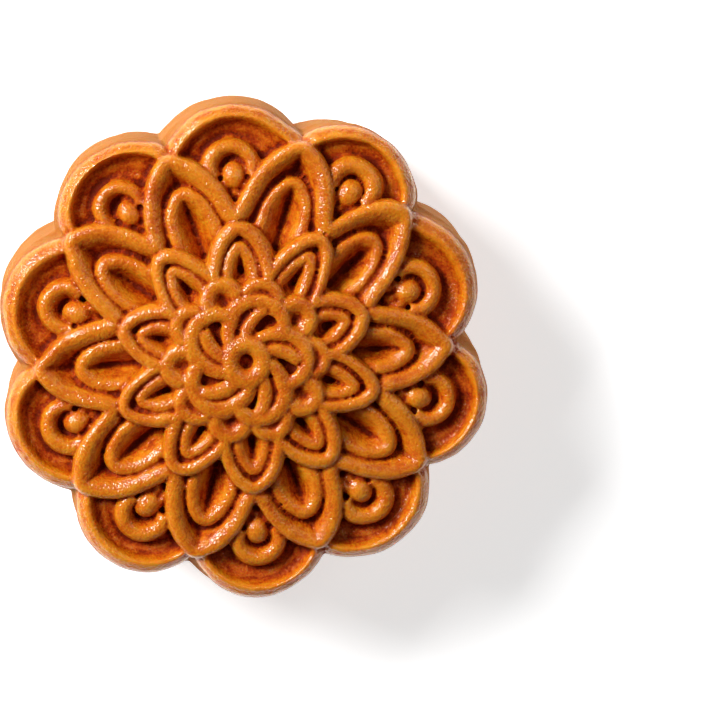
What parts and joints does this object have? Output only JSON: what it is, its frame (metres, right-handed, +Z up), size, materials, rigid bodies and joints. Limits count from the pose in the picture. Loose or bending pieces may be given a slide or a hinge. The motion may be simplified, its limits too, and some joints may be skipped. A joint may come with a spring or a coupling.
{
  "type": "mooncake",
  "caption": "Round baked mooncake with a scalloped side and a glazed face moulded with layers of flower petals around a swirled rosette, lying face up on its flat base.",
  "frame": {"origin": "middle of the flat base, on the surface that the cake rests on", "axes": "+Z up through the middle of the moulded face; +Y through the tip of one lobe"},
  "size_m": [0.0772, 0.08, 0.035],
  "materials": {
    "crust": "golden brown baked pastry crust, egg-glazed and glossy on the face, paler and dull on the side and the base"
  },
  "bodies": {
    "root": {"mooncake": "crust"}
  },
  "joints": []
}
